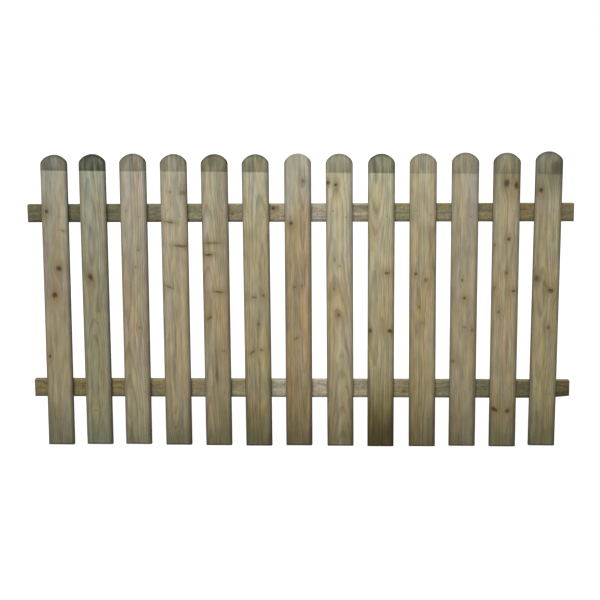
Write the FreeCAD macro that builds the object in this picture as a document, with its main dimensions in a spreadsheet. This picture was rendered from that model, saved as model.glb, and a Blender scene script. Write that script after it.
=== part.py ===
"""Round-top picket fence panel: upright pickets nailed across two flat rails.

Millimetres. +X runs along the panel, +Y points from the pickets to the back, +Z is up.
The origin is the middle of the top rail's back face, where a post bears on the rail.
"""

import FreeCAD
import Part
import Sketcher
import math
import os

# Driving dimensions: alias, millimetres, meaning
SIZES = (
    ("panel_length", 1830.0, "length of both rails, end to end"),
    ("picket_length", 1000.0, "foot of a picket to the crown of its round top"),
    ("picket_width", 90.0, "face width of a picket"),
    ("picket_thickness", 20.0, "thickness of a picket"),
    ("picket_gap", 47.5, "open gap between two pickets"),
    ("crown_rise", 28.0, "crown of the round top above its shoulders"),
    ("picket_arris", 5.0, "radius of a picket's eased long edges"),
    ("rail_height", 60.0, "height of a rail's face"),
    ("rail_thickness", 30.0, "thickness of a rail, front to back"),
    ("rail_arris", 2.0, "radius of a rail's eased long edges"),
    ("foot_to_rail", 165.0, "foot of the pickets up to the bottom rail's lower edge"),
    ("crown_to_rail", 170.0, "crown of the pickets down to the top rail's upper edge"),
)

# How each picket was nailed off its even place, left to right: millimetres along the rails, millimetres
# upwards, and degrees that its head leans to the right
NAILED_OFF = (
    (4, -1, 0.5),
    (-2, 1, 0.2),
    (-4, 2, 0.3),
    (-4, 0, 0.1),
    (-4, -1, 0.0),
    (-4, -2, -0.1),
    (-2, 0, 0.1),
    (0, -1, -0.1),
    (1, -2, 0.1),
    (3, -1, -0.1),
    (3, 1, 0.1),
    (2, 0, 0.1),
    (0, 4, 0.4),
)

# Heights above the origin and depths behind it, from the sheet's cells
FOOT_Z = "Sizes.crown_to_rail + Sizes.rail_height / 2 - Sizes.picket_length"
TOP_RAIL_Z = "0"
BOTTOM_RAIL_Z = f"{FOOT_Z} + Sizes.foot_to_rail + Sizes.rail_height / 2"
PICKET_BACK_Y = "-Sizes.rail_thickness"
PICKET_PITCH = "(Sizes.picket_width + Sizes.picket_gap)"

PARTS_FOLDER = "parts"
FLAT = 1e-6


def make_sheet(doc):
    """The spreadsheet of driving dimensions, one aliased cell each."""
    sheet = doc.addObject("Spreadsheet::Sheet", "Sizes")
    for row, (alias, size, meaning) in enumerate(SIZES, start=1):
        sheet.set(f"A{row}", alias)
        sheet.set(f"B{row}", str(size))
        sheet.set(f"C{row}", meaning)
        sheet.setAlias(f"B{row}", alias)
    doc.recompute()
    return sheet


def picket_total(sheet):
    """As many pickets as the rails hold at their pitch. Both ends share the length that is left."""
    return math.floor(sheet.panel_length / (sheet.picket_width + sheet.picket_gap))


def add_sketch(body, name, plane_role):
    """An empty sketch on one of the body's own origin planes."""
    sketch = body.newObject("Sketcher::SketchObject", name)
    plane = next(f for f in body.Origin.OriginFeatures if f.Role == plane_role)
    sketch.AttachmentSupport = [(plane, "")]
    sketch.MapMode = "FlatFace"
    return sketch


def constrain(sketch, kind, *where, size=None, name=None):
    """Adds a constraint. With a size, an expression in the sheet's cells drives it."""
    if size is None:
        sketch.addConstraint(Sketcher.Constraint(kind, *where))
        return
    index = sketch.addConstraint(Sketcher.Constraint(kind, *where, sketch.evalExpression(size)))
    sketch.renameConstraint(index, name)
    sketch.setExpression(f"Constraints.{name}", size)


def draw_picket_outline(sketch, sheet):
    """Square foot, two straight sides and one arc over the top, with the foot's middle at the origin."""
    half = sheet.picket_width / 2
    shoulder = sheet.picket_length - sheet.crown_rise
    radius = (half**2 + sheet.crown_rise**2) / (2 * sheet.crown_rise)
    middle = sheet.picket_length - radius
    tilt = math.atan2(shoulder - middle, half)
    corners = [(-half, 0), (half, 0), (half, shoulder), (-half, shoulder)]
    left_foot, right_foot, right_shoulder, left_shoulder = (FreeCAD.Vector(x, y, 0) for x, y in corners)
    circle = Part.Circle(FreeCAD.Vector(0, middle, 0), FreeCAD.Vector(0, 0, 1), radius)

    foot = sketch.addGeometry(Part.LineSegment(left_foot, right_foot))
    right = sketch.addGeometry(Part.LineSegment(right_foot, right_shoulder))
    crown = sketch.addGeometry(Part.ArcOfCircle(circle, tilt, math.pi - tilt))
    left = sketch.addGeometry(Part.LineSegment(left_shoulder, left_foot))

    start, end, centre = 1, 2, 3
    origin, upright_axis = (-1, 1), -2
    for first, second in ((foot, right), (right, crown), (crown, left), (left, foot)):
        constrain(sketch, "Coincident", first, end, second, start)
    constrain(sketch, "Horizontal", foot)
    constrain(sketch, "Vertical", right)
    constrain(sketch, "Vertical", left)
    constrain(sketch, "Symmetric", foot, start, foot, end, *origin)
    constrain(sketch, "PointOnObject", crown, centre, upright_axis)
    constrain(sketch, "DistanceX", foot, start, foot, end, size="Sizes.picket_width", name="width")
    constrain(
        sketch, "DistanceY", right, start, right, end,
        size="Sizes.picket_length - Sizes.crown_rise", name="shoulder_height",
    )
    constrain(
        sketch, "Radius", crown,
        size="(Sizes.picket_width ^ 2 / 4 + Sizes.crown_rise ^ 2) / (2 * Sizes.crown_rise)",
        name="crown_radius",
    )


def draw_rail_section(sketch, sheet):
    """A rectangle with its back edge on the origin's upright axis, centred in height."""
    deep, half = sheet.rail_thickness, sheet.rail_height / 2
    corners = [FreeCAD.Vector(x, y, 0) for x, y in ((-deep, -half), (0, -half), (0, half), (-deep, half))]
    sides = [
        sketch.addGeometry(Part.LineSegment(corners[i], corners[(i + 1) % len(corners)]))
        for i in range(len(corners))
    ]
    lower, back, upper, front = sides
    start, end = 1, 2
    origin = (-1, 1)
    for i, side in enumerate(sides):
        constrain(sketch, "Coincident", side, end, sides[(i + 1) % len(sides)], start)
    constrain(sketch, "Horizontal", lower)
    constrain(sketch, "Horizontal", upper)
    constrain(sketch, "Vertical", front)
    constrain(sketch, "Vertical", back)
    constrain(sketch, "Symmetric", back, start, back, end, *origin)
    constrain(sketch, "DistanceX", lower, start, lower, end, size="Sizes.rail_thickness", name="thickness")
    constrain(sketch, "DistanceY", back, start, back, end, size="Sizes.rail_height", name="height")


def ease_edges(body, pad, size, chosen):
    """Rounds the edges of a pad whose bounding box passes the test."""
    names = [f"Edge{i}" for i, edge in enumerate(pad.Shape.Edges, start=1) if chosen(edge.BoundBox)]
    fillet = body.newObject("PartDesign::Fillet", f"{body.Label}_arrises")
    fillet.Base = (pad, names)
    fillet.setExpression("Radius", size)
    body.Tip = fillet


def place(body, **along):
    """Binds the body's position to expressions in the sheet's cells. Its turn stays as it is."""
    for axis, expression in along.items():
        body.setExpression(f"Placement.Base.{axis}", expression)


def make_picket(doc, sheet, index, total):
    """One picket: the outline padded to its thickness, its long edges eased, leaning about half its height."""
    label = f"picket_{index + 1:02d}"
    body = doc.addObject("PartDesign::Body", label)
    body.Label = label
    outline = add_sketch(body, f"{label}_outline", "XZ_Plane")
    draw_picket_outline(outline, sheet)
    board = body.newObject("PartDesign::Pad", f"{label}_board")
    board.Profile = outline
    board.setExpression("Length", "Sizes.picket_thickness")
    doc.recompute()
    ease_edges(
        body, board, "Sizes.picket_arris",
        lambda box: box.XLength < FLAT and box.YLength < FLAT,
    )
    along, up, lean = NAILED_OFF[index % len(NAILED_OFF)]
    across_the_face = FreeCAD.Rotation(FreeCAD.Vector(0, 1, 0), lean)
    body.Placement = FreeCAD.Placement(FreeCAD.Vector(0, 0, 0), across_the_face)
    place(
        body,
        x=f"{index - (total - 1) / 2} * {PICKET_PITCH} + {along} - Sizes.picket_length / 2 * sin({lean} deg)",
        y=PICKET_BACK_Y,
        z=f"{FOOT_Z} + {up}",
    )
    return body


def make_rail(doc, sheet, label, height):
    """One rail: its section padded both ways from the middle, with its long edges eased."""
    body = doc.addObject("PartDesign::Body", label)
    body.Label = label
    section = add_sketch(body, f"{label}_section", "YZ_Plane")
    draw_rail_section(section, sheet)
    bar = body.newObject("PartDesign::Pad", f"{label}_bar")
    bar.Profile = section
    bar.Midplane = True
    bar.setExpression("Length", "Sizes.panel_length")
    doc.recompute()
    ease_edges(body, bar, "Sizes.rail_arris", lambda box: box.XLength > FLAT)
    place(body, z=height)
    return body


def check(doc, bodies):
    """Stops if anything in the document failed, or a piece isn't one sound solid."""
    failed = [o.Name for o in doc.Objects if {"Invalid", "Error"} & set(o.State)]
    if failed:
        raise RuntimeError(f"failed objects: {failed}")
    for body in bodies:
        shape = body.Shape
        if shape.isNull() or not shape.isValid() or len(shape.Solids) != 1:
            raise RuntimeError(f"{body.Label} is not one valid solid")


def main():
    doc = FreeCAD.newDocument("PicketFencePanel")
    sheet = make_sheet(doc)
    total = picket_total(sheet)
    bodies = [make_picket(doc, sheet, index, total) for index in range(total)]
    bodies.append(make_rail(doc, sheet, "top_rail", TOP_RAIL_Z))
    bodies.append(make_rail(doc, sheet, "bottom_rail", BOTTOM_RAIL_Z))
    doc.recompute()
    check(doc, bodies)
    os.makedirs(PARTS_FOLDER, exist_ok=True)
    for body in bodies:
        body.Shape.exportStep(os.path.join(PARTS_FOLDER, f"{body.Label}.step"))
        box = body.Shape.optimalBoundingBox(False)
        print(f"{body.Label}: x {box.XMin:.1f} to {box.XMax:.1f}, y {box.YMin:.1f} to {box.YMax:.1f},"
              f" z {box.ZMin:.1f} to {box.ZMax:.1f}, {body.Shape.Volume / 1000:.1f} cm3")


main()
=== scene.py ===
"""Round-top picket fence panel in weathered, treated softwood, dressed on its fixed frame of solids.

Metres, apart from knots and cracks, whose places and sizes are in millimetres. +X runs along the panel,
+Y points from the pickets to the back, +Z is up.
"""

import math
import random
from collections import namedtuple

import bmesh
import bpy
from bpy.props import FloatProperty, FloatVectorProperty, PointerProperty
from mathutils import Matrix, Vector, noise


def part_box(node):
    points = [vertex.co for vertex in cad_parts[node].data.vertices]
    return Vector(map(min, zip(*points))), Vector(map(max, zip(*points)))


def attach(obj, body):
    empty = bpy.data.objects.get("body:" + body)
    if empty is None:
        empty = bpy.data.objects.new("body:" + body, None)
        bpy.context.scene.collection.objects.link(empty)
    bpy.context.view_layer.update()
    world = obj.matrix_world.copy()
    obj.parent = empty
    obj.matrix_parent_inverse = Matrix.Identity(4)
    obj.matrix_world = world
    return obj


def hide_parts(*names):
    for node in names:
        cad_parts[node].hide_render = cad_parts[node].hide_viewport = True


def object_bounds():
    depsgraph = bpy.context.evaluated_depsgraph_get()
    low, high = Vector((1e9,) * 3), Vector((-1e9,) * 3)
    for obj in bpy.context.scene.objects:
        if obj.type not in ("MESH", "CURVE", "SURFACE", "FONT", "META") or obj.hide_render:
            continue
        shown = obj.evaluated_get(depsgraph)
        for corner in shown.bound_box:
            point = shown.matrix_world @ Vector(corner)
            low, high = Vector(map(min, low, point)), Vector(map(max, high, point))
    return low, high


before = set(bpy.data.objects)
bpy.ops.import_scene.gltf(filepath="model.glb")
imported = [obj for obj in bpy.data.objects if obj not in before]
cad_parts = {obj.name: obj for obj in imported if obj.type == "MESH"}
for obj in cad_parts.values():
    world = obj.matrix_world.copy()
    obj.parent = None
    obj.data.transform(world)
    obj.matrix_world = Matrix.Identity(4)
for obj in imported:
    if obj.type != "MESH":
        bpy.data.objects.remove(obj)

bl_info = {
    "name": "Round-top picket fence panel",
    "version": (1, 0, 0),
    "blender": (4, 5, 0),
    "location": "3D View > Sidebar > Fence",
    "description": "Dresses a nailed picket fence panel in weathered, treated softwood",
    "category": "Add Mesh",
}

CAD_BOX = [list(corner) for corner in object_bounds()]
PICKETS = sorted(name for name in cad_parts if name.startswith("picket_"))
RAILS = ("top_rail", "bottom_rail")
MM = 0.001

# The rail with a waney lower edge at its right end, and how far the wane runs and how deep it cuts
WANED_RAIL = "bottom_rail"
WANE_LENGTH = 0.13
WANE_DEPTH = 0.008


def span_of(node):
    """How far a node's box reaches along each axis."""
    low, high = (Vector(corner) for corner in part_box(node))
    return high - low


# The picket that stands plumb has the narrowest box. It gives every picket's width, thickness and length.
PLUMB = min((span_of(node) for node in PICKETS), key=lambda span: span.x)

# A knot on a board's face: its place across from the middle line and along from the board's start, its half
# width and half height, all in millimetres, how dark it is, and the degrees it slopes down to the right
Knot = namedtuple("Knot", "across along half_width half_height dark slope", defaults=(0,))

# A drying crack along the grain: its place across, where it starts and where it ends, in millimetres
Crack = namedtuple("Crack", "across start end")

# How one picket differs from the rest: its wash of colour, how light it is, how much of the dip its head
# took and how much ran down below, how damp its foot is, the degrees it leans to the right, its knots, its
# cracks, and how much of its wash has bleached out towards its head
Board = namedtuple("Board", "wash light head run damp lean knots cracks bleach", defaults=((), 0.0))

BOARDS = (
    Board("sage", 1.04, 0.56, 0.0, 0.0, 0.5, (
        Knot(-27, 811, 7, 8, 1.0),
        Knot(25, 745, 8, 3, 0.6, 25),
        Knot(9, 617, 11, 11, 1.0),
        Knot(-8, 525, 10, 11, 1.0),
        Knot(-30, 312, 6, 6, 0.85),
    ), (Crack(-14, 0, 70),)),
    Board("green", 0.92, 0.78, 0.0, 0.05, 0.2, (
        Knot(-15, 585, 9, 14, 1.0, -20),
        Knot(9, 470, 4, 5, 0.35),
        Knot(-11, 121, 6, 5, 0.35),
    )),
    Board("grey", 1.03, 0.42, 0.0, 0.0, 0.3, (
        Knot(14, 676, 6, 5, 0.35),
        Knot(1, 618, 6, 6, 0.35),
        Knot(12, 410, 6, 7, 0.4),
    ), (Crack(21, 900, 968),)),
    Board("grey", 1.14, 0.45, 0.1, 0.24, 0.1, (
        Knot(-13, 874, 7, 5, 0.4),
        Knot(29, 871, 11, 11, 0.6),
        Knot(-15, 773, 18, 3, 0.75, 9),
        Knot(19, 692, 24, 4, 0.75, 4),
        Knot(-21, 552, 14, 4, 0.6, 22),
        Knot(-4, 345, 4, 48, 0.35),
    )),
    Board("khaki", 1.04, 0.54, 0.12, 0.12, 0.0, (
        Knot(-9, 703, 32, 6, 0.5),
        Knot(-24, 663, 15, 4, 0.9),
        Knot(8, 536, 18, 4, 0.75, 7),
        Knot(-24, 447, 13, 5, 0.6, -32),
        Knot(22, 332, 9, 4, 0.4),
        Knot(-3, 252, 5, 38, 0.65),
    )),
    Board("olive", 1.05, 0.48, 0.0, 0.36, -0.1, (
        Knot(-9, 519, 10, 4, 0.55),
        Knot(20, 525, 6, 6, 0.55),
        Knot(4, 426, 6, 6, 0.6),
        Knot(-19, 329, 14, 4, 0.65, -40),
        Knot(11, 337, 8, 4, 0.6),
    ), (Crack(-20, 0, 95),)),
    Board("warm", 0.97, 0.03, 0.0, 0.32, 0.1, (
        Knot(18, 910, 6, 6, 0.6),
        Knot(-23, 769, 7, 7, 0.85),
        Knot(-12, 552, 6, 5, 0.5),
        Knot(10, 555, 6, 7, 0.45),
        Knot(-8, 375, 10, 5, 0.45, -25),
    ), bleach=1.0),
    Board("straw", 1.19, 0.4, 0.0, 0.31, -0.1, (
        Knot(-36, 904, 6, 6, 0.9),
        Knot(-12, 897, 6, 6, 0.95),
        Knot(-17, 645, 4, 10, 0.45),
        Knot(0, 625, 5, 5, 0.5),
        Knot(-20, 547, 4, 7, 0.5),
        Knot(-4, 457, 6, 7, 0.65),
        Knot(6, 316, 10, 8, 0.15),
    )),
    Board("olive", 1.12, 0.55, 0.0, 0.72, 0.1, (
        Knot(20, 602, 9, 5, 0.8),
        Knot(5, 440, 5, 14, 0.35),
        Knot(30, 404, 9, 9, 1.0),
        Knot(-37, 404, 7, 9, 0.85),
    ), (Crack(4, 0, 60), Crack(-25, 0, 110))),
    Board("ochre", 1.02, 0.27, 0.0, 0.38, -0.1, (
        Knot(-23, 598, 7, 6, 0.75),
        Knot(11, 577, 10, 10, 0.5),
        Knot(-14, 540, 3, 30, 0.35),
        Knot(-12, 485, 4, 8, 0.5),
        Knot(0, 430, 5, 4, 0.45),
        Knot(-18, 400, 4, 12, 0.35),
    )),
    Board("khaki", 0.97, 0.32, 0.0, 0.23, 0.1, (
        Knot(-6, 575, 5, 7, 0.65),
        Knot(2, 514, 7, 5, 0.85),
        Knot(3, 415, 6, 6, 0.45),
        Knot(30, 405, 6, 8, 0.5),
        Knot(-33, 297, 9, 7, 0.5),
    )),
    Board("tan", 0.98, 0.39, 0.18, 0.3, 0.1, (
        Knot(-1, 901, 11, 15, 0.95),
        Knot(27, 893, 11, 14, 1.0),
        Knot(9, 714, 7, 7, 0.85),
        Knot(-37, 694, 5, 4, 0.55),
        Knot(4, 600, 5, 5, 0.7),
        Knot(-35, 550, 4, 4, 0.5),
        Knot(29, 539, 8, 5, 0.75),
        Knot(-20, 467, 6, 6, 0.55),
        Knot(-28, 131, 15, 9, 1.0, 30),
        Knot(12, 125, 13, 9, 0.95, -28),
    ), (Crack(-8, 915, 985),)),
    Board("olive", 0.91, 0.48, 0.32, 0.22, 0.4, (
        Knot(24, 948, 18, 26, 0.55),
        Knot(-21, 873, 10, 9, 0.95),
        Knot(-32, 577, 9, 12, 0.8),
        Knot(-9, 560, 28, 8, 0.32, 43),
        Knot(12, 537, 11, 10, 0.9),
        Knot(12, 411, 8, 9, 0.65),
    )),
)

# What each wash multiplies the common wood colours by
WASHES = {
    "sage": (0.95, 0.98, 1.02),
    "green": (0.91, 1.01, 1.04),
    "grey": (1.0, 1.0, 1.04),
    "khaki": (1.01, 1.0, 0.99),
    "olive": (1.01, 1.03, 0.96),
    "warm": (1.06, 0.98, 0.88),
    "straw": (1.0, 1.01, 1.0),
    "ochre": (1.04, 1.02, 0.93),
    "tan": (1.0, 0.99, 0.94),
}

# What takes the wash's place where the weather has bleached it out
BLEACHED = (1.08, 1.06, 1.08)

# Tones along each rail from its left end: share of its length and the name of a rail colour
RAIL_TONES = {
    "top_rail": (
        (0.0, "rail_dark"), (0.12, "rail_dark"), (0.36, "rail_olive"), (0.55, "rail_pale"),
        (0.66, "rail_olive"), (0.78, "rail_olive"), (0.88, "rail_brown"), (1.0, "rail_brown"),
    ),
    "bottom_rail": (
        (0.0, "rail_brown"), (0.14, "rail_brown"), (0.39, "rail_olive"), (0.53, "rail_pale"),
        (0.65, "rail_olive"), (0.73, "rail_olive"), (0.86, "rail_dark"), (1.0, "rail_damp"),
    ),
}
RAIL_KNOTS = {
    "top_rail": (Knot(1, 692, 7, 4, 0.7), Knot(-16, 830, 6, 5, 0.95)),
    "bottom_rail": (Knot(6, 1270, 6, 5, 0.6), Knot(-8, 410, 5, 4, 0.5)),
}

# A smooth step: the signal it starts and ends at, and what it gives at each
Step = namedtuple("Step", "start end first last", defaults=(0.0, 1.0))

# Noise: its cells per metre along each axis, its detail and roughness, and a lift that sets it apart
Pattern = namedtuple("Pattern", "cells detail roughness lift", defaults=(2.0, 0.5, 0.0))

# Noise in the wood: across a board's face, into its depth and along its grain
WOBBLE = Pattern((90, 90, 22))
SWAY = Pattern((6, 6, 2.5), 1.0)
STREAK = Pattern((90, 90, 2.2), 3.0, 0.6)
MOTTLE = Pattern((75, 75, 16))
DRIFT = Pattern((34, 34, 5), 1.0)
LILAC = Pattern((36, 36, 7), 1.0, lift=7.0)
TIDE = Pattern((14, 14, 3), 2.0, 0.4)
FIBRE = Pattern((1000, 1000, 20), 2.0, 0.7)
KERF = Pattern((8, 8, 260), 1.0)
SPECKLE = Pattern((150, 150, 90), 3.0, 0.6)
KNOT_FRAY = Pattern((260, 260, 200))

# The most that a board's noise is shifted, and how far the wobble bends its grain
PATTERN_SHIFT = 50
WOBBLE_REACH = (0.004, 0.0012, 0.004)

# Growth rings about a pith beside the board. Blender's wave turns by 20 radians a metre at a scale of one.
RING_WIDTHS = (0.003, 0.005)
RAIL_RING_WIDTH = 0.004
PITH_ACROSS = (-0.03, 0.03)
PITH_DEPTH = (0.02, 0.06)
PITH_LEAN_ACROSS = (-0.015, 0.015)
PITH_LEAN_DEPTH = (-0.03, 0.03)
SWAY_REACH = 0.03
LATE_WOOD = Step(0.45, 0.97)
WAVE_RADIANS = 20

# Tints that drift over the wood, and the light that its patterns leave
WARM_TINT = (1.03, 0.992, 0.9, 1.0)
GREY_TINT = (0.965, 1.008, 1.025, 1.0)
LILAC_TINT = (1.02, 0.988, 1.1, 1.0)
WARM_TO_GREY = Step(0.4, 0.6)
INTO_LILAC = Step(0.5, 0.64)
STREAK_LIGHT = Step(0.25, 0.75, 0.85, 1.14)
MOTTLE_LIGHT = Step(0.25, 0.75, 0.84, 1.14)
RING_LIGHT = Step(0.0, 1.0, 1.06, 0.82)
FIBRE_LIGHT = Step(0.2, 0.8, 0.86, 1.14)
# Painted shade and dirt in the cracks and nail dents that the mesh marks as hollows
HOLLOW_PAINTED_SHADE = Step(0.0, 1.0, 1.0, 0.2)

# Knots: the heart with its rings, the stain round it, and how much the grain parts
KNOT_FRAY_REACH = Step(0.2, 0.8, 0.7, 1.3)
KNOT_EDGE = Step(1.3, 0.3)
KNOT_RING_TURN = 17.0
KNOT_RING_TONE = 0.09
KNOT_HALO_ACROSS = 5.0
KNOT_HALO_ALONG = 12.0
KNOT_STAIN = 0.58
KNOT_HEART = 0.92
KNOT_PARTING = 0.85

# A picket's tones: the heights up it where they lie, and how far the tide line between them wanders
TONE_HEIGHTS = (0.0, 0.13, 0.5, 0.8, 0.92)
TIDE_REACH = 0.12

# Damp at a picket's foot: where it ends and where it is full, above the foot
DAMP_TOP = 0.34
DAMP_FULL = 0.03
DAMP_STRENGTH = 1.2
DAMP_RAGGED = 0.07
DAMP_TINT = (0.17, 0.12, 0.0, 1.0)

# Darkening on a picket: painted shade on its right edge, which turns from the light, and dirt along both
# edges,
# most near its foot; a dark line along its sawn foot; and painted shade on its sides and underneath
RIGHT_SHADE_GRIME_WIDTH = 0.015
GRIME_WIDTH_LEFT = 0.013
EDGE_SHADE_GRIME_FULL = 0.003
RIGHT_SHADE_GRIME = 0.45
GRIME_LEFT = 0.28
EDGE_SHADE_GRIME_NEAR_FOOT = Step(0.3, 0.1, 1.0, 1.3)
SAWN_FOOT = Step(0.008, 0.001, 0.0, 0.75)
# Painted shade on the faces that turn to the sides and on those that look down
SIDE_PAINTED_SHADE = Step(0.6, 0.95, 1.0, 0.6)
UNDERSIDE_PAINTED_SHADE = Step(0.5, 0.9, 1.0, 0.4)

# The dip on the heads: its line, how unevenly the wood took it, its rim, and how it ran down below
DIP_SLOPE = 0.011
DIP_RAGGED = 0.0025
DIP_EDGE = Step(-0.002, 0.002)
DIP_STREAK = Step(0.3, 0.7, 1.08, 0.9)
DIP_MOTTLE = Step(0.3, 0.7, 1.2, 0.8)
DIP_BAND = Step(0.012, 0.0, 0.0, 0.12)
RIM_WIDTH = 0.010
RIM_LEAST = 0.12
RIM_SHARE = 0.45
RUN_REACH = Step(-0.12, 0.0)
RUN_STREAK = Step(0.35, 0.65, 1.3, 0.5)

# A rail: how its tones drift, and the light left by saw marks, specks, painted shade along its lower edge,
# its ends and a darker wane
RAIL_DRIFT = 0.06
KERF_LIGHT = Step(0.3, 0.7, 0.92, 1.05)
SPECKLE_LIGHT = Step(0.3, 0.7, 0.8, 1.2)
# Painted shade along a rail's lower edge: how wide it is, where it is full and how dark it gets
LOWER_EDGE_WIDTH = 0.014
LOWER_EDGE_FULL = 0.002
LOWER_EDGE_SHADE = 0.5
RAIL_END_LIGHT = Step(0.5, 0.9, 1.0, 0.7)
# A darker wane, towards the rail's lower edge and its far end
WANE_DARK_LOW = Step(-0.008, 0.018)
WANE_DARK_LIGHT = Step(0.0, 0.6, 1.0, 0.55)

# Shares of rings, saw marks and fibres in the relief, and how rough the boards are
RING_RELIEF = 0.35
PICKET_FIBRE_RELIEF = 0.4
KERF_RELIEF = 0.5
RAIL_FIBRE_RELIEF = 0.5
PICKET_ROUGHNESS = Step(0.2, 0.8, 0.74, 0.92)
RAIL_ROUGHNESS = Step(0.2, 0.8, 0.8, 0.95)

# Nails: their zinc spangle and rust, how thick and how deep a head sits, and how far it strays
SPANGLE = Pattern((900, 900, 900))
SPANGLE_LIGHT = Step(0.3, 0.7, 0.75, 1.1)
NAIL_ROUGHNESS = Step(0.3, 0.7, 0.5, 0.75)
RUST = Pattern((260, 260, 260), 3.0)
RUST_EDGE = Step(0.45, 0.62)
NAIL_THICK = 0.0012
NAIL_SUNK = 0.0003
NAIL_TAPER = 0.8
NAIL_EASE = 0.0003
NAIL_STRAY_ACROSS = 0.004
NAIL_STRAY_ALONG = 0.003

# Modelling: edges, wide cells, how many crown rises deep the rows bend, and lengths that count as nothing
SHARP_TURN = math.radians(40)
LONG_EDGE_SEGMENTS = 5
SMALL_EDGE_SEGMENTS = 2
WIDE_CELL = 0.7
BENT_ROWS = 4
NO_LENGTH = 1e-5

# Wear: the mesh attribute that marks hollows, each board's own noise, and how deep each kind of wear goes
HOLLOW = "hollow"
SEED_STEPS = (7.3, 3.1, 5.7)
RAIL_SEED = 50
RAISED_CELLS = (320, 320, 9)
RAISED_DEPTH = 0.00012
NICK_CELLS = 45
NICK_LEVEL = 0.3
NICK_DEPTH = 0.0012
DISH_REACH = 3
DISH_DEPTH = 0.0004
CRACK_DEPTH = 0.003
CRACK_HALF_WIDTH = 0.0006
CRACK_NEAR_MM = 0.1
DENT_RADIUS = 0.0052
DENT_SLOPE = 0.0024
DENT_DEPTH = 0.0007
# How much painted shade and dirt a full nail dent gets, as a share of a crack's
DENT_SHADE_AND_DIRT = 0.15

# How a surface faces: flat to the front, mostly to the front, and on a rounded long edge
FLAT_FRONT = -0.99
MOSTLY_FRONT = -0.9
ON_EDGE = 0.2

# The stage: floor, sky, and soft suns by name, strength, and degrees left of the front and above the floor
WHITE = (1.0, 1.0, 1.0, 1.0)
FLOOR_HALF_SIZE = 30
FLOOR_GREY = (0.3, 0.3, 0.3, 1.0)
FLOOR_GLOW = 0.85
SKY_COLOUR = (0.96, 0.98, 1.0, 1.0)
SKY_STRENGTH = 0.32
SUNS = (("key", 2.72, 6, 40), ("back_fill", 1.3, 195, 40))
SUN_SPREAD = math.radians(30)
SUN_DISTANCE = 4

# The camera: degrees it looks down, turns right and rolls, what it looks at, and its lens and frame
CAMERA_TURNS = (10.82, -2.679, -0.469)
CAMERA_TARGET = (0.0036, -0.050, -0.292)
CAMERA_DISTANCE = 5.0
FOCAL_PIXELS = 1484.7
FRAME_PIXELS = 600
SENSOR_WIDTH = 36
CLIP_END = 200


def linear(red, green, blue):
    """A colour as Blender keeps it, from its display values out of 255."""
    shares = (value / 255 for value in (red, green, blue))
    return tuple(s / 12.92 if s <= 0.04045 else ((s + 0.055) / 1.055) ** 2.4 for s in shares)


def length_property(name, description, default):
    """A length in metres."""
    return FloatProperty(name=name, description=description, default=default, min=0.0, unit="LENGTH")


def colour_property(name, description, display):
    """A colour, from its display values out of 255."""
    return FloatVectorProperty(
        name=name, description=description, default=linear(*display), subtype="COLOR", min=0.0, max=1.0
    )


class FencePanelSizes(bpy.types.PropertyGroup):
    """Sizes of the boards' details and of the nails"""

    picket_width: length_property("Picket width", "Face width of a picket", PLUMB.x)
    picket_length: length_property("Picket length", "Foot of a picket to its crown", PLUMB.z)
    picket_thickness: length_property("Picket thickness", "Thickness of a picket", PLUMB.y)
    crown_rise: length_property("Crown rise", "Crown of a picket above its shoulders", 0.028)
    shoulder_round: length_property("Shoulder round", "Radius that softens a picket's shoulders", 0.020)
    picket_ease: length_property("Picket easing", "Radius of a picket's long edges", 0.0052)
    rail_ease: length_property("Rail easing", "Radius of a rail's long edges", 0.0025)
    sawn_ease: length_property("Sawn easing", "Radius of the edges round a cut end", 0.0006)
    cell_across: length_property("Cell across", "Mesh cell across the grain, before the loop cuts", 0.006)
    cell_along: length_property("Cell along", "Mesh cell along the grain", 0.005)
    dip_level: length_property("Dip level", "Height of the dip line above the top rail's middle", 0.138)
    nail_radius: length_property("Nail radius", "Radius of a nail's head", 0.0022)
    nail_spread: length_property("Nail spread", "Distance of a nail from a picket's middle line", 0.023)
    nail_stagger: length_property("Nail stagger", "Distance of a nail from a rail's middle line", 0.009)


class FencePanelColours(bpy.types.PropertyGroup):
    """Colours of the wood and the nails"""

    crown: colour_property("Crown", "Silvered wood near the top", (167, 160, 137))
    middle: colour_property("Middle", "Khaki wood at half height", (153, 139, 110))
    low: colour_property("Low", "Olive wood below the bottom rail", (144, 133, 103))
    foot: colour_property("Foot", "Damp wood at the foot", (111, 106, 81))
    dip: colour_property("Dip", "Preservative on the heads", (56, 58, 42))
    knot: colour_property("Knot", "Heart of a knot", (50, 37, 15))
    resin: colour_property("Resin", "Stained wood round a knot", (114, 96, 56))
    rail_dark: colour_property("Rail dark", "Dark stretch of a rail", (101, 97, 72))
    rail_brown: colour_property("Rail brown", "Brown stretch of a rail", (120, 109, 74))
    rail_olive: colour_property("Rail olive", "Common colour of a rail", (136, 128, 98))
    rail_pale: colour_property("Rail pale", "Bleached stretch of a rail", (172, 162, 142))
    rail_damp: colour_property("Rail damp", "Damp end of a rail", (93, 84, 53))
    nail: colour_property("Nail", "Dull galvanised steel", (138, 129, 108))
    rust: colour_property("Rust", "Rust on a nail", (112, 92, 66))


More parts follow.
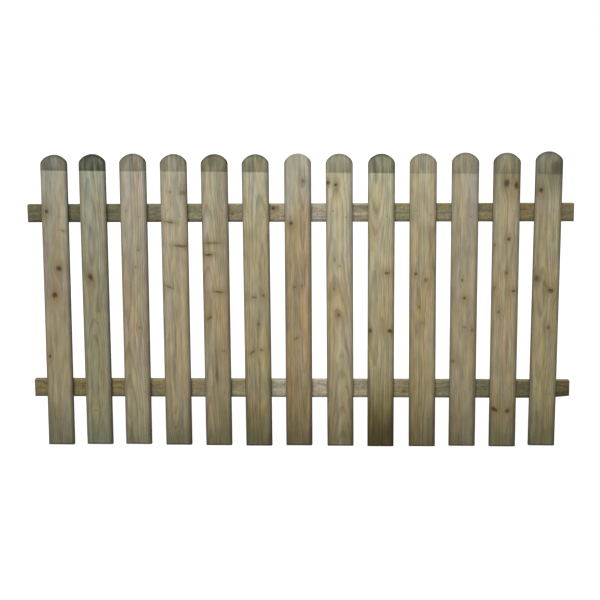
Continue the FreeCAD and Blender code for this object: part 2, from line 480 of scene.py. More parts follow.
class Tree:
    """Adds nodes to a node tree."""

    def __init__(self, tree):
        self.tree = tree

    def add(self, kind, inputs, **settings):
        """A new node. An input given a socket is linked to it, and any other value is set on it."""
        node = self.tree.nodes.new(kind)
        for name, value in settings.items():
            setattr(node, name, value)
        for key, value in inputs.items():
            if isinstance(value, bpy.types.NodeSocket):
                self.tree.links.new(value, node.inputs[key])
            else:
                node.inputs[key].default_value = value
        return node

    def math(self, operation, first, second=0.0, clamp=False):
        """The result of an operation on numbers."""
        inputs = {0: first, 1: second}
        return self.add("ShaderNodeMath", inputs, operation=operation, use_clamp=clamp).outputs[0]

    def vector(self, operation, first, second):
        """The result of an operation on vectors."""
        return self.add("ShaderNodeVectorMath", {0: first, 1: second}, operation=operation).outputs[0]

    def remap(self, value, low, high, to_low=0.0, to_high=1.0):
        """A smooth step from one pair of values to another."""
        inputs = {0: value, 1: low, 2: high, 3: to_low, 4: to_high}
        return self.add("ShaderNodeMapRange", inputs, interpolation_type="SMOOTHSTEP").outputs[0]

    def mix(self, factor, first, second, blend="MIX"):
        """Two colours mixed by a factor, through the sockets where a Mix node keeps its colours."""
        inputs = {0: factor, 6: first, 7: second}
        return self.add("ShaderNodeMix", inputs, data_type="RGBA", blend_type=blend).outputs[2]

    def shade(self, colour, value):
        """A colour multiplied by a number or by another colour."""
        return self.mix(1.0, colour, value, "MULTIPLY")

    def split(self, point):
        """The three parts of a vector."""
        return self.add("ShaderNodeSeparateXYZ", {0: point}).outputs

    def join(self, x, y, z):
        """A vector from its three parts."""
        return self.add("ShaderNodeCombineXYZ", {0: x, 1: y, 2: z}).outputs[0]

    def noise(self, point, pattern, shift=(0.0, 0.0, 0.0)):
        """A pattern of noise at a point, as a number and as a colour."""
        place = tuple(value + pattern.lift for value in shift)
        mapping = {"Vector": point, "Location": place, "Scale": pattern.cells}
        spread = self.add("ShaderNodeMapping", mapping).outputs[0]
        inputs = {"Vector": spread, "Scale": 1.0, "Detail": pattern.detail, "Roughness": pattern.roughness}
        return self.add("ShaderNodeTexNoise", inputs).outputs

    def ramp(self, factor, stops):
        """A colour read from stops along a ramp."""
        node = self.add("ShaderNodeValToRGB", {0: factor})
        elements = node.color_ramp.elements
        while len(elements) < len(stops):
            elements.new(0.5)
        for element, (place, colour) in zip(elements, stops):
            element.position = place
            element.color = (*colour, 1.0)
        return node.outputs[0]


def knot_group():
    """A node group that parts the grain round one knot and adds the knot to the heart and halo so far."""
    name = "wood_knot"
    if name in bpy.data.node_groups:
        return bpy.data.node_groups[name]
    group = bpy.data.node_groups.new(name, "ShaderNodeTree")
    for label in ("Point", "Centre"):
        group.interface.new_socket(label, in_out="INPUT", socket_type="NodeSocketVector")
    for label in ("Half Width", "Half Height", "Dark", "Slope", "Heart", "Halo"):
        group.interface.new_socket(label, in_out="INPUT", socket_type="NodeSocketFloat")
    group.interface.new_socket("Point", in_out="OUTPUT", socket_type="NodeSocketVector")
    for label in ("Heart", "Halo"):
        group.interface.new_socket(label, in_out="OUTPUT", socket_type="NodeSocketFloat")

    tree = Tree(group)
    given = group.nodes.new("NodeGroupInput").outputs
    off = tree.vector("SUBTRACT", given["Point"], given["Centre"])
    turn = {"Vector": off, "Axis": (0.0, 1.0, 0.0), "Angle": given["Slope"]}
    own = tree.split(tree.add("ShaderNodeVectorRotate", turn, rotation_type="AXIS_ANGLE").outputs[0])
    across = tree.math("DIVIDE", own[0], given["Half Width"])
    along = tree.math("DIVIDE", own[2], given["Half Height"])
    across2 = tree.math("MULTIPLY", across, across)
    along2 = tree.math("MULTIPLY", along, along)

    radius = tree.math("SQRT", tree.math("ADD", across2, along2))
    fray = tree.remap(tree.noise(given["Point"], KNOT_FRAY)[0], *KNOT_FRAY_REACH)
    radius = tree.math("MULTIPLY", radius, fray)
    rings = tree.math("SINE", tree.math("MULTIPLY", radius, KNOT_RING_TURN))
    rings = tree.math("ADD", tree.math("MULTIPLY", rings, KNOT_RING_TONE), 1 - KNOT_RING_TONE)
    heart = tree.math("MULTIPLY", tree.remap(radius, *KNOT_EDGE), rings)
    heart = tree.math("MULTIPLY", heart, given["Dark"])

    far_across = tree.math("DIVIDE", across2, KNOT_HALO_ACROSS)
    far_along = tree.math("DIVIDE", along2, KNOT_HALO_ALONG)
    far = tree.math("ADD", far_across, far_along)
    near = tree.math("POWER", math.e, tree.math("MULTIPLY", far, -1.0))
    halo = tree.math("MULTIPLY", near, given["Dark"])

    upright = tree.math("DIVIDE", given["Half Height"], given["Half Width"], clamp=True)
    pull = tree.math("MULTIPLY", tree.math("MULTIPLY", tree.split(off)[0], near), -KNOT_PARTING)
    pull = tree.math("MULTIPLY", pull, upright)
    tree.add("NodeGroupOutput", {
        "Point": tree.vector("ADD", given["Point"], tree.join(pull, 0.0, 0.0)),
        "Heart": tree.math("MAXIMUM", heart, given["Heart"]),
        "Halo": tree.math("MAXIMUM", halo, given["Halo"]),
    })
    return group


class Grain:
    """Signals of sawn softwood in a board's own axes: across its face, into its depth, along its grain."""

    def __init__(self, tree, point, knots, rng, ring_width):
        self.tree = tree
        self.shift = tuple(rng.uniform(-PATTERN_SHIFT, PATTERN_SHIFT) for _ in range(3))
        own = tree.split(point)
        self.across = own[0]
        self.along = own[2]
        wobble = tree.noise(point, WOBBLE, self.shift)[1]
        wobble = tree.vector("SUBTRACT", wobble, (0.5, 0.5, 0.5))
        wobble = tree.vector("MULTIPLY", wobble, WOBBLE_REACH)
        bent = tree.vector("ADD", point, wobble)
        self.heart, self.halo = 0.0, 0.0
        for knot in knots:
            inputs = {
                "Point": bent,
                "Centre": (knot.across * MM, 0.0, knot.along * MM),
                "Half Width": knot.half_width * MM,
                "Half Height": knot.half_height * MM,
                "Dark": knot.dark,
                "Slope": math.radians(-knot.slope),
                "Heart": self.heart,
                "Halo": self.halo,
            }
            parted = tree.add("ShaderNodeGroup", inputs, node_tree=knot_group())
            bent, self.heart, self.halo = parted.outputs
        self.bent = bent
        self.rings = self.growth_rings(rng, ring_width)
        self.streak = self.noise(STREAK)
        self.mottle = self.noise(MOTTLE)
        self.drift = self.noise(DRIFT)
        self.fibre = self.noise(FIBRE)

    def noise(self, pattern):
        """A pattern of noise that follows the grain, at this board's own shift."""
        return self.tree.noise(self.bent, pattern, self.shift)[0]

    def growth_rings(self, rng, ring_width):
        """Dark late wood of rings about a pith beside the board, which leans a little along it."""
        tree = self.tree
        pith = Vector((rng.uniform(*PITH_ACROSS), rng.choice((-1, 1)) * rng.uniform(*PITH_DEPTH), 0))
        lean_across = rng.uniform(*PITH_LEAN_ACROSS)
        lean_depth = rng.uniform(*PITH_LEAN_DEPTH)
        across, depth, along = tree.split(self.bent)
        across = tree.math("ADD", across, tree.math("MULTIPLY", along, lean_across))
        depth = tree.math("ADD", depth, tree.math("MULTIPLY", along, lean_depth))
        depth = tree.math("ADD", depth, tree.math("MULTIPLY", self.noise(SWAY), SWAY_REACH))
        inputs = {
            "Vector": tree.vector("SUBTRACT", tree.join(across, depth, 0.0), pith),
            "Scale": math.tau / (WAVE_RADIANS * ring_width),
            "Distortion": 0.4,
            "Detail": 1.0,
            "Detail Scale": 0.5,
        }
        wave = tree.add(
            "ShaderNodeTexWave", inputs, wave_type="RINGS", rings_direction="Z", wave_profile="SAW"
        )
        return tree.remap(wave.outputs["Fac"], *LATE_WOOD)

    def swing(self, signal, amount):
        """A signal about one half turned into a number about zero, up to the amount each way."""
        return self.tree.math("MULTIPLY", self.tree.math("SUBTRACT", signal, 0.5), 2 * amount)

    def over(self, colour):
        """Lays the grain over a colour: drifting tints, streaks, late wood and fibres."""
        tree = self.tree
        warm = tree.shade(colour, WARM_TINT)
        grey = tree.shade(colour, GREY_TINT)
        colour = tree.mix(tree.remap(self.drift, *WARM_TO_GREY), warm, grey)
        lilac = tree.shade(colour, LILAC_TINT)
        colour = tree.mix(tree.remap(self.noise(LILAC), *INTO_LILAC), colour, lilac)
        colour = tree.shade(colour, tree.remap(self.streak, *STREAK_LIGHT))
        colour = tree.shade(colour, tree.remap(self.mottle, *MOTTLE_LIGHT))
        colour = tree.shade(colour, tree.remap(self.rings, *RING_LIGHT))
        return tree.shade(colour, tree.remap(self.fibre, *FIBRE_LIGHT))

    def with_knots(self, colour, colours):
        """Stains the wood round the knots and lays in their hearts."""
        tree = self.tree
        colour = tree.mix(tree.math("MULTIPLY", self.halo, KNOT_STAIN), colour, (*colours.resin, 1))
        return tree.mix(tree.math("MULTIPLY", self.heart, KNOT_HEART), colour, (*colours.knot, 1))

    def relief(self, signal, share, fibre_share):
        """Height of the surface from shares of a signal and of the fibres."""
        tree = self.tree
        height = tree.math("MULTIPLY", signal, share)
        return tree.math("ADD", height, tree.math("MULTIPLY", self.fibre, fibre_share))


def new_material(name):
    """A new material, and its empty node tree."""
    material = bpy.data.materials.new(name)
    material.use_nodes = True
    material.node_tree.nodes.clear()
    return material, Tree(material.node_tree)


def board_point(tree, origin, turn):
    """The surface point in a board's own axes, from its start and its turn about the depth."""
    here = tree.add("ShaderNodeTexCoord", {}).outputs["Object"]
    inputs = {"Vector": here, "Location": origin, "Rotation": (0.0, turn, 0.0)}
    return tree.add("ShaderNodeMapping", inputs, vector_type="TEXTURE").outputs[0]


def finish_wood(tree, colour, height, rough):
    """Ends a wood material: painted shade and dirt in the marked hollows, and a dry, matt surface with its
    relief.
    """
    hollow = tree.add("ShaderNodeAttribute", {}, attribute_name=HOLLOW).outputs["Fac"]
    # Painted shade and dirt in the marked cracks and nail dents
    colour = tree.shade(colour, tree.remap(hollow, *HOLLOW_PAINTED_SHADE))
    bump = tree.add("ShaderNodeBump", {"Strength": 0.9, "Distance": 0.0006, "Height": height}).outputs[0]
    inputs = {"Base Color": colour, "Roughness": rough, "Specular IOR Level": 0.25, "Normal": bump}
    shader = tree.add("ShaderNodeBsdfPrincipled", inputs)
    tree.add("ShaderNodeOutputMaterial", {"Surface": shader.outputs[0]})


def facing(tree):
    """The parts of the surface's direction along the panel, to its back and up."""
    return tree.split(tree.add("ShaderNodeNewGeometry", {}).outputs["Normal"])


def picket_wood(name, board, foot, sizes, colours):
    """One picket's wood: silvered towards its dipped head, darker towards its damp foot."""
    material, tree = new_material(name)
    rng = random.Random(name)
    ring_width = rng.uniform(*RING_WIDTHS)
    point = board_point(tree, foot, math.radians(board.lean))
    grain = Grain(tree, point, board.knots, rng, ring_width)

    wash = Vector(WASHES[board.wash]) * board.light
    middle, crown = Vector(colours.middle), Vector(colours.crown)
    tones = (
        Vector(colours.foot) * wash,
        Vector(colours.low) * wash,
        middle * wash,
        middle.lerp(crown, 0.5) * wash,
        crown * wash.lerp(Vector(BLEACHED), board.bleach),
    )
    level = tree.math("ADD", grain.along, grain.swing(grain.noise(TIDE), TIDE_REACH))
    colour = grain.over(tree.ramp(level, list(zip(TONE_HEIGHTS, tones, strict=True))))

    rise = tree.math("ADD", grain.along, grain.swing(grain.streak, DAMP_RAGGED))
    damp = tree.remap(rise, DAMP_TOP, DAMP_FULL, 0.0, DAMP_STRENGTH * board.damp)
    colour = tree.mix(damp, colour, DAMP_TINT, "MULTIPLY")
    colour = grain.with_knots(colour, colours)
    colour = dip_head(tree, grain, colour, board, foot, sizes, colours)

    normal = facing(tree)
    side = tree.math("ABSOLUTE", normal[0])
    underside = tree.math("MULTIPLY", normal[2], -1.0)
    # Painted shade on the right edge, dirt along both edges, and a dark line along the sawn foot
    colour = tree.shade(colour, edge_shade_and_grime(tree, grain, sizes.picket_width / 2))
    # Painted shade on the faces that turn to the sides and on those that look down
    colour = tree.shade(colour, tree.remap(side, *SIDE_PAINTED_SHADE))
    colour = tree.shade(colour, tree.remap(underside, *UNDERSIDE_PAINTED_SHADE))

    height = grain.relief(grain.rings, RING_RELIEF, PICKET_FIBRE_RELIEF)
    finish_wood(tree, colour, height, tree.remap(grain.streak, *PICKET_ROUGHNESS))
    return material


def edge_shade_and_grime(tree, grain, half):
    """Share of light left by painted shade on a picket's right edge, dirt on both edges, most near its
    foot, and a dark sawn foot.
    """
    # Painted shade on the right edge, which turns from the light, with dirt on it
    right = tree.remap(grain.across, half - RIGHT_SHADE_GRIME_WIDTH, half - EDGE_SHADE_GRIME_FULL, 0.0, RIGHT_SHADE_GRIME)
    left = tree.remap(grain.across, EDGE_SHADE_GRIME_FULL - half, GRIME_WIDTH_LEFT - half, GRIME_LEFT, 0.0)
    sides = tree.math("ADD", right, left)
    sides = tree.math("MULTIPLY", sides, tree.remap(grain.along, *EDGE_SHADE_GRIME_NEAR_FOOT))
    sawn = tree.remap(grain.along, *SAWN_FOOT)
    return tree.math("SUBTRACT", 1.0, tree.math("MAXIMUM", sides, sawn))


def crown_radius(sizes):
    """Radius of the arc over a picket's head."""
    return ((sizes.picket_width / 2) ** 2 + sizes.crown_rise**2) / (2 * sizes.crown_rise)


def dip_head(tree, grain, colour, board, foot, sizes, colours):
    """Darkens a head above the line it was dipped to, most along that line and round the rim."""
    line = sizes.dip_level - DIP_SLOPE * foot.x - foot.z
    edge = tree.math("ADD", grain.along, tree.math("MULTIPLY", grain.across, DIP_SLOPE))
    edge = tree.math("ADD", edge, grain.swing(grain.fibre, DIP_RAGGED))
    edge = tree.math("SUBTRACT", edge, line)
    took = tree.remap(grain.streak, *DIP_STREAK)
    took = tree.math("MULTIPLY", took, tree.remap(grain.mottle, *DIP_MOTTLE))
    took = tree.math("ADD", took, tree.remap(edge, *DIP_BAND))
    took = tree.math("MULTIPLY", took, board.head)

    radius = crown_radius(sizes)
    arc = tree.math("SUBTRACT", radius**2, tree.math("MULTIPLY", grain.across, grain.across))
    arc = tree.math("SQRT", tree.math("MAXIMUM", arc, 0.0))
    crown = tree.math("ADD", arc, sizes.picket_length - radius)
    below = tree.math("SUBTRACT", crown, grain.along)
    rim = tree.remap(below, RIM_WIDTH, 0.0, 0.0, RIM_LEAST + RIM_SHARE * board.head)
    took = tree.math("ADD", took, rim)

    dipped = tree.math("MULTIPLY", tree.remap(edge, *DIP_EDGE), took, clamp=True)
    run = tree.math("MULTIPLY", tree.remap(edge, *RUN_REACH), tree.remap(grain.streak, *RUN_STREAK))
    dipped = tree.math("MAXIMUM", dipped, tree.math("MULTIPLY", run, board.run))
    return tree.mix(dipped, colour, (*colours.dip, 1))


def rail_wood(name, origin, turn, length, height, colours):
    """One rail's wood: rough sawn, its tones drifting from end to end, with painted shade along its lower
    edge.
    """
    material, tree = new_material(f"wood_{name}")
    rng = random.Random(name)
    grain = Grain(tree, board_point(tree, origin, turn), RAIL_KNOTS[name], rng, RAIL_RING_WIDTH)
    share = tree.math("DIVIDE", grain.along, length)
    share = tree.math("ADD", share, grain.swing(grain.drift, RAIL_DRIFT))
    stops = [(place, getattr(colours, tone)) for place, tone in RAIL_TONES[name]]
    colour = grain.with_knots(grain.over(tree.ramp(share, stops)), colours)

    kerf = grain.noise(KERF)
    lower = height / 2
    lights = [
        tree.remap(kerf, *KERF_LIGHT),
        tree.remap(grain.noise(SPECKLE), *SPECKLE_LIGHT),
        # Painted shade along the rail's rounded lower edge
        tree.remap(grain.across, lower - LOWER_EDGE_WIDTH, lower - LOWER_EDGE_FULL, 1.0, LOWER_EDGE_SHADE),
        tree.remap(tree.math("ABSOLUTE", facing(tree)[0]), *RAIL_END_LIGHT),
    ]
    if name == WANED_RAIL:
        lights.append(wane_darkening(tree, grain, length))
    for light in lights:
        colour = tree.shade(colour, light)

    relief = grain.relief(kerf, KERF_RELIEF, RAIL_FIBRE_RELIEF)
    finish_wood(tree, colour, relief, tree.remap(grain.streak, *RAIL_ROUGHNESS))
    return material


def wane_darkening(tree, grain, length):
    """Share of the light that is left on a rail's wane, darker towards its lower edge and its far end."""
    far = tree.remap(grain.along, length - WANE_LENGTH, length)
    low = tree.remap(grain.across, *WANE_DARK_LOW)
    return tree.remap(tree.math("MULTIPLY", far, low), *WANE_DARK_LIGHT)


def nail_steel(colours):
    """Dull galvanised steel with patches of rust."""
    material, tree = new_material("nail_steel")
    point = tree.add("ShaderNodeTexCoord", {}).outputs["Object"]
    spangle = tree.noise(point, SPANGLE)[0]
    rust = tree.remap(tree.noise(point, RUST)[0], *RUST_EDGE)
    colour = tree.shade((*colours.nail, 1), tree.remap(spangle, *SPANGLE_LIGHT))
    colour = tree.mix(rust, colour, (*colours.rust, 1))
    inputs = {"Base Color": colour, "Metallic": 0.3, "Roughness": tree.remap(spangle, *NAIL_ROUGHNESS)}
    shader = tree.add("ShaderNodeBsdfPrincipled", inputs)
    tree.add("ShaderNodeOutputMaterial", {"Surface": shader.outputs[0]})
    return material


def sharp_edges(mesh):
    """The edges where two faces meet at a sharp turn."""
    return [edge for edge in mesh.edges if edge.calc_face_angle(0.0) > SHARP_TURN]


def reach(edge, axis):
    """How far an edge runs along an axis."""
    first, last = edge.verts
    return abs(first.co[axis] - last.co[axis])


def ease(mesh, edges, radius, segments):
    """Rounds edges to a radius."""
    bmesh.ops.bevel(
        mesh, geom=edges, offset=radius, offset_type="OFFSET", segments=segments, profile=0.5,
        affect="EDGES", material=-1, clamp_overlap=True,
    )


def plank(width, length, thickness, radius, sizes):
    """A straight board with eased long edges, centred across, its front and its start at zero."""
    x, y, z = range(3)
    mesh = bmesh.new()
    place = Matrix.Translation((0, 0, length / 2)) @ Matrix.Rotation(math.pi / 2, 4, "X")
    bmesh.ops.create_grid(
        mesh,
        x_segments=round(width / sizes.cell_across),
        y_segments=round(length / sizes.cell_along),
        size=0.5,
        matrix=place @ Matrix.Diagonal((width, length, 1, 1)),
    )
    made = bmesh.ops.extrude_face_region(mesh, geom=mesh.faces[:])["geom"]
    back = [item for item in made if isinstance(item, bmesh.types.BMVert)]
    bmesh.ops.translate(mesh, verts=back, vec=(0, thickness, 0))
    walls = [edge for edge in mesh.edges if reach(edge, y) > thickness / 2]
    bmesh.ops.subdivide_edges(mesh, edges=walls, cuts=2, use_grid_fill=True)
    bmesh.ops.recalc_face_normals(mesh, faces=mesh.faces[:])
    long_edges = [edge for edge in sharp_edges(mesh) if reach(edge, z) > NO_LENGTH]
    ease(mesh, long_edges, radius, LONG_EDGE_SEGMENTS)
    wide = [edge for edge in mesh.edges if reach(edge, x) > WIDE_CELL * sizes.cell_across]
    bmesh.ops.subdivide_edges(mesh, edges=wide, cuts=1, use_grid_fill=True)
    return mesh


def head_height(across, sizes):
    """Height of the round top above the foot: one arc, met by a smaller one at each shoulder."""
    big, small = crown_radius(sizes), sizes.shoulder_round
    centre = sizes.picket_length - big
    inset = sizes.picket_width / 2 - small
    meet = inset * big / (big - small)
    if abs(across) <= meet:
        return centre + math.sqrt(big**2 - across**2)
    lift = math.sqrt((big - small) ** 2 - inset**2)
    return centre + lift + math.sqrt(max(small**2 - (abs(across) - inset) ** 2, 0.0))


def round_head(mesh, sizes):
    """Cuts the round top: each row above the shoulders is drawn down, the more the nearer the crown."""
    start = sizes.picket_length - BENT_ROWS * sizes.crown_rise
    for vert in mesh.verts:
        share = (vert.co.z - start) / (sizes.picket_length - start)
        if share > 0:
            vert.co.z = start + share * (head_height(vert.co.x, sizes) - start)


def cut_cracks(mesh, cracks):
    """Adds the lines of vertices that a narrow crack needs."""
    for crack in cracks:
        for side in (-1, 0, 1):
            front = [face for face in mesh.faces if face.normal.y < FLAT_FRONT]
            geometry = {item for face in front for item in (face, *face.edges, *face.verts)}
            place = (crack.across * MM + side * CRACK_HALF_WIDTH, 0, 0)
            bmesh.ops.bisect_plane(
                mesh, geom=list(geometry), plane_co=place, plane_no=(1, 0, 0), dist=NO_LENGTH
            )


def crack_share(across, along, cracks):
    """Share of a crack's full depth at a point of the face."""
    for crack in cracks:
        if abs(across / MM - crack.across) < CRACK_NEAR_MM and crack.start <= along / MM <= crack.end:
            gone = (along / MM - crack.start) / (crack.end - crack.start)
            from_foot = crack.start == 0
            return 1 - gone if from_foot else math.sin(math.pi * gone)
    return 0.0


def dish_share(across, along, knots):
    """Share of a full dish by which the surface sinks over the nearest knots."""
    deepest = 0.0
    for knot in knots:
        off = Vector((across / MM - knot.across, along / MM - knot.along))
        if off.length < DISH_REACH * max(knot.half_width, knot.half_height):
            own = Matrix.Rotation(math.radians(knot.slope), 2) @ off
            far = (own.x / knot.half_width) ** 2 + (own.y / knot.half_height) ** 2
            deepest = max(deepest, knot.dark * math.exp(-far))
    return deepest


def dent_share(across, along, dents):
    """Share of a full dent at a point of the face, round the nearest nail."""
    shares = ((DENT_RADIUS - math.hypot(across - x, along - z)) / DENT_SLOPE for x, z in dents)
    return min(1.0, max(0.0, max(shares, default=0.0)))


def weather(mesh, seed, knots=(), cracks=(), dents=()):
    """Wears a board's surface inwards: raised grain, dished knots, nicked edges, cracks and nail dents."""
    mesh.normal_update()
    hollow = mesh.verts.layers.float.new(HOLLOW)
    shift = Vector([seed * step for step in SEED_STEPS])
    moves = []
    for vert in mesh.verts:
        across, _, along = vert.co
        spread = Vector([value * cells for value, cells in zip(vert.co, RAISED_CELLS)])
        sunk = RAISED_DEPTH * (1 + noise.noise(spread + shift))
        if min(abs(vert.normal.x), abs(vert.normal.y)) > ON_EDGE:
            sunk += NICK_DEPTH * max(0.0, noise.noise(vert.co * NICK_CELLS + shift) - NICK_LEVEL)
        if vert.normal.y < MOSTLY_FRONT:
            crack = crack_share(across, along, cracks)
            dent = dent_share(across, along, dents)
            sunk += DISH_DEPTH * dish_share(across, along, knots)
            sunk += CRACK_DEPTH * crack
            sunk += DENT_DEPTH * dent
            # Marks the cracks and dents for painted shade and dirt in the material
            vert[hollow] = min(1.0, crack + DENT_SHADE_AND_DIRT * dent)
        moves.append((vert, sunk))
    for vert, sunk in moves:
        vert.co -= vert.normal * sunk


def pare_wane(mesh, height, length):
    """Tapers a bar's lower edge towards its far end, where the log's round side shows."""
    for vert in mesh.verts:
        share = 1 - (length - vert.co.z) / WANE_LENGTH
        low = vert.co.x / (height / 2)
        if share > 0 and low > 0:
            vert.co.x -= WANE_DEPTH * share * share * low * low


def finished_object(name, mesh, material):
    """An object at the origin from a bmesh, smooth-shaded, in the scene."""
    data = bpy.data.meshes.new(name)
    mesh.to_mesh(data)
    mesh.free()
    data.shade_smooth()
    data.materials.append(material)
    piece = bpy.data.objects.new(name, data)
    bpy.context.scene.collection.objects.link(piece)
    return piece


def foot_of(node, board, sizes):
    """The middle of a leaning picket's foot on its front face, from the box around the picket."""
    low, high = (Vector(corner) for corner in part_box(node))
    lean = math.radians(board.lean)
    across = sizes.picket_width / 2 * math.cos(lean)
    x = low.x + across if lean >= 0 else high.x - across
    return Vector((x, low.y, low.z + sizes.picket_width / 2 * math.sin(abs(lean))))


def nail_places(node, foot, sizes):
    """Two staggered nails at each rail, across and along the picket's face."""
    rng = random.Random(node)
    places = []
    for rail in RAILS:
        low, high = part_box(rail)
        level = (low[2] + high[2]) / 2 - foot.z
        slant = rng.choice((-1, 1))
        for side in (-1, 1):
            across = side * sizes.nail_spread + rng.uniform(-NAIL_STRAY_ACROSS, NAIL_STRAY_ACROSS)
            along = level + side * slant * sizes.nail_stagger
            along += rng.uniform(-NAIL_STRAY_ALONG, NAIL_STRAY_ALONG)
            places.append((across, along))
    return places


def set_in_place(mesh, origin, turn):
    """Moves a mesh from a board's own axes to its place on the panel."""
    matrix = Matrix.Translation(origin) @ Matrix.Rotation(turn, 4, "Y")
    bmesh.ops.transform(mesh, matrix=matrix, verts=mesh.verts[:])


def looking(down, right):
    """The direction from the front to the back, turned down and to the right by two angles."""
    level = math.cos(down)
    return Vector((math.sin(right) * level, math.cos(right) * level, -math.sin(down)))


class FENCE_OT_pickets(bpy.types.Operator):
    """Model each picket as a weathered board with a round head"""

    bl_idname = "fence.pickets"
    bl_label = "Pickets"

    def execute(self, context):
        sizes, colours = context.scene.fence_sizes, context.scene.fence_colours
        stock = (sizes.picket_width, sizes.picket_length, sizes.picket_thickness)
        for index, (node, board) in enumerate(zip(PICKETS, BOARDS, strict=True)):
            foot = foot_of(node, board, sizes)
            mesh = plank(*stock, sizes.picket_ease, sizes)
            round_head(mesh, sizes)
            ease(mesh, sharp_edges(mesh), sizes.sawn_ease, SMALL_EDGE_SEGMENTS)
            cut_cracks(mesh, board.cracks)
            weather(mesh, index, board.knots, board.cracks, nail_places(node, foot, sizes))
            set_in_place(mesh, foot, math.radians(board.lean))
            wood = picket_wood(f"wood_{node}", board, foot, sizes, colours)
            piece = finished_object(f"{node}_board", mesh, wood)
            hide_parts(node)
            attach(piece, "root")
        return {"FINISHED"}


class FENCE_OT_rails(bpy.types.Operator):
    """Model both rails as rough-sawn bars"""

    bl_idname = "fence.rails"
    bl_label = "Rails"

    def execute(self, context):
        sizes, colours = context.scene.fence_sizes, context.scene.fence_colours
        turn = math.pi / 2
        for index, node in enumerate(RAILS):
            low, high = (Vector(corner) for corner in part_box(node))
            length, thickness, height = high - low
            left_end = Vector((low.x, low.y, (low.z + high.z) / 2))
            mesh = plank(height, length, thickness, sizes.rail_ease, sizes)
            ease(mesh, sharp_edges(mesh), sizes.sawn_ease, SMALL_EDGE_SEGMENTS)
            if node == WANED_RAIL:
                pare_wane(mesh, height, length)
            weather(mesh, RAIL_SEED + index, RAIL_KNOTS[node])
            set_in_place(mesh, left_end, turn)
            wood = rail_wood(node, left_end, turn, length, height, colours)
            piece = finished_object(f"{node}_bar", mesh, wood)
            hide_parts(node)
            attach(piece, "root")
        return {"FINISHED"}


class FENCE_OT_nails(bpy.types.Operator):
    """Drive two nails through each picket into each rail"""

    bl_idname = "fence.nails"
    bl_label = "Nails"

    def execute(self, context):
        sizes = context.scene.fence_sizes
        to_the_front = Matrix.Rotation(math.pi / 2, 4, "X")
        mesh = bmesh.new()
        for node, board in zip(PICKETS, BOARDS, strict=True):
            foot = foot_of(node, board, sizes)
            stand = Matrix.Translation(foot) @ Matrix.Rotation(math.radians(board.lean), 4, "Y")
            for across, along in nail_places(node, foot, sizes):
                place = Matrix.Translation((across, NAIL_SUNK + NAIL_THICK / 2, along)) @ to_the_front
                bmesh.ops.create_cone(
                    mesh,
                    cap_ends=True,
                    segments=16,
                    radius1=NAIL_TAPER * sizes.nail_radius,
                    radius2=sizes.nail_radius,
                    depth=NAIL_THICK,
                    matrix=stand @ place,
                )
        ease(mesh, sharp_edges(mesh), NAIL_EASE, SMALL_EDGE_SEGMENTS)
        piece = finished_object("nail_heads", mesh, nail_steel(context.scene.fence_colours))
        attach(piece, "root")
        return {"FINISHED"}


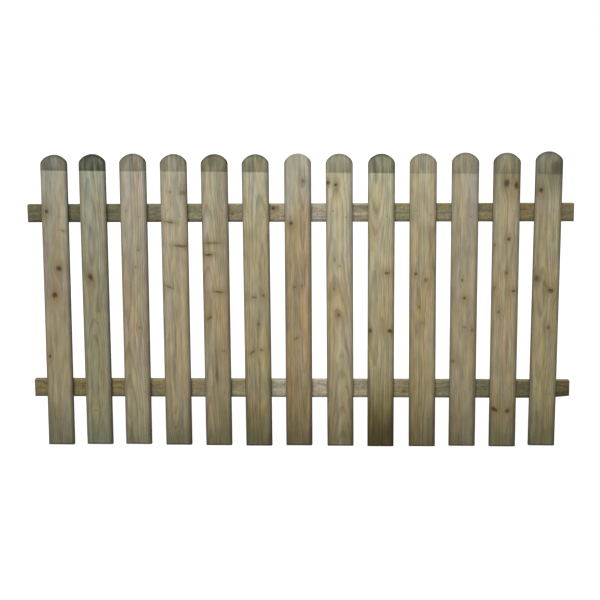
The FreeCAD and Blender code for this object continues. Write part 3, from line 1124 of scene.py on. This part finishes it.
class FENCE_OT_stage(bpy.types.Operator):
    """Set the pale floor, the soft lights and the camera"""

    bl_idname = "fence.stage"
    bl_label = "Stage"

    def execute(self, context):
        self.lay_floor(CAD_BOX[0][2])
        self.set_world(context)
        for sun in SUNS:
            self.hang_sun(context, *sun)
        self.place_camera(context)
        context.scene.view_settings.view_transform = "Standard"
        return {"FINISHED"}

    def lay_floor(self, level):
        """A floor under the pickets' feet, which shows white and keeps the shadow."""
        mesh = bmesh.new()
        place = Matrix.Translation((0, 0, level))
        bmesh.ops.create_grid(mesh, x_segments=1, y_segments=1, size=FLOOR_HALF_SIZE, matrix=place)
        material, tree = new_material("pale_floor")
        matt = tree.add("ShaderNodeBsdfDiffuse", {"Color": FLOOR_GREY}).outputs[0]
        strength = tree.math("MULTIPLY", self.seen(tree), FLOOR_GLOW)
        glow = tree.add("ShaderNodeEmission", {"Color": WHITE, "Strength": strength}).outputs[0]
        both = tree.add("ShaderNodeAddShader", {0: matt, 1: glow}).outputs[0]
        tree.add("ShaderNodeOutputMaterial", {"Surface": both})
        finished_object("floor", mesh, material)

    def set_world(self, context):
        """A pale sky that gives a soft light and shows white."""
        world = bpy.data.worlds.new("soft_sky")
        world.use_nodes = True
        world.node_tree.nodes.clear()
        tree = Tree(world.node_tree)
        sky = tree.add("ShaderNodeBackground", {"Color": SKY_COLOUR, "Strength": SKY_STRENGTH}).outputs[0]
        white = tree.add("ShaderNodeBackground", {"Color": WHITE, "Strength": 1.0}).outputs[0]
        mixed = tree.add("ShaderNodeMixShader", {0: self.seen(tree), 1: sky, 2: white}).outputs[0]
        tree.add("ShaderNodeOutputWorld", {"Surface": mixed})
        context.scene.world = world

    def seen(self, tree):
        """One for the rays that see the background itself, zero for those that carry its light."""
        rays = tree.add("ShaderNodeLightPath", {}).outputs
        seen = tree.math("MAXIMUM", rays["Is Camera Ray"], rays["Is Glossy Ray"])
        return tree.math("MAXIMUM", seen, rays["Is Transmission Ray"])

    def hang_sun(self, context, name, strength, left, height):
        """A soft sun, from degrees to the left of the front and degrees high."""
        lamp = bpy.data.lights.new(name, "SUN")
        lamp.energy = strength
        lamp.angle = SUN_SPREAD
        sun = bpy.data.objects.new(name, lamp)
        towards = looking(math.radians(height), math.radians(left))
        turn = towards.to_track_quat("-Z", "Y").to_matrix().to_4x4()
        sun.matrix_world = Matrix.Translation(-SUN_DISTANCE * towards) @ turn
        context.scene.collection.objects.link(sun)

    def place_camera(self, context):
        """A camera at the photo's viewing angle."""
        down, yaw, roll = (math.radians(turn) for turn in CAMERA_TURNS)
        forward = looking(down, yaw)
        right = Vector((math.cos(yaw), -math.sin(yaw), 0))
        up = right.cross(forward)
        right, up = (
            math.cos(roll) * right + math.sin(roll) * up,
            math.cos(roll) * up - math.sin(roll) * right,
        )
        lens = bpy.data.cameras.new("camera")
        lens.sensor_width = SENSOR_WIDTH
        lens.lens = SENSOR_WIDTH * FOCAL_PIXELS / FRAME_PIXELS
        lens.clip_end = CLIP_END
        camera = bpy.data.objects.new("camera", lens)
        turn = Matrix((right, up, -forward)).transposed().to_4x4()
        camera.matrix_world = Matrix.Translation(Vector(CAMERA_TARGET) - CAMERA_DISTANCE * forward) @ turn
        context.scene.collection.objects.link(camera)
        context.scene.camera = camera


class FENCE_PT_panel(bpy.types.Panel):
    """Lists the pieces of the fence panel, its sizes and its colours"""

    bl_idname = "FENCE_PT_panel"
    bl_label = "Picket fence panel"
    bl_space_type = "VIEW_3D"
    bl_region_type = "UI"
    bl_category = "Fence"

    def draw(self, context):
        for operator in OPERATORS:
            self.layout.operator(operator.bl_idname)
        for group in (context.scene.fence_sizes, context.scene.fence_colours):
            box = self.layout.box()
            for name in group.bl_rna.properties.keys():
                if name not in {"rna_type", "name"}:
                    box.prop(group, name)


OPERATORS = (FENCE_OT_pickets, FENCE_OT_rails, FENCE_OT_nails, FENCE_OT_stage)
CLASSES = (FencePanelSizes, FencePanelColours, *OPERATORS, FENCE_PT_panel)


def register():
    """Registers the classes and gives the scene its sizes and colours."""
    for cls in CLASSES:
        bpy.utils.register_class(cls)
    bpy.types.Scene.fence_sizes = PointerProperty(type=FencePanelSizes)
    bpy.types.Scene.fence_colours = PointerProperty(type=FencePanelColours)


def unregister():
    """Takes away what register added."""
    del bpy.types.Scene.fence_colours
    del bpy.types.Scene.fence_sizes
    for cls in reversed(CLASSES):
        bpy.utils.unregister_class(cls)


def main():
    """Builds the panel and its stage."""
    register()
    bpy.ops.fence.pickets()
    bpy.ops.fence.rails()
    bpy.ops.fence.nails()
    bpy.ops.fence.stage()


if __name__ == "__main__":
    main()
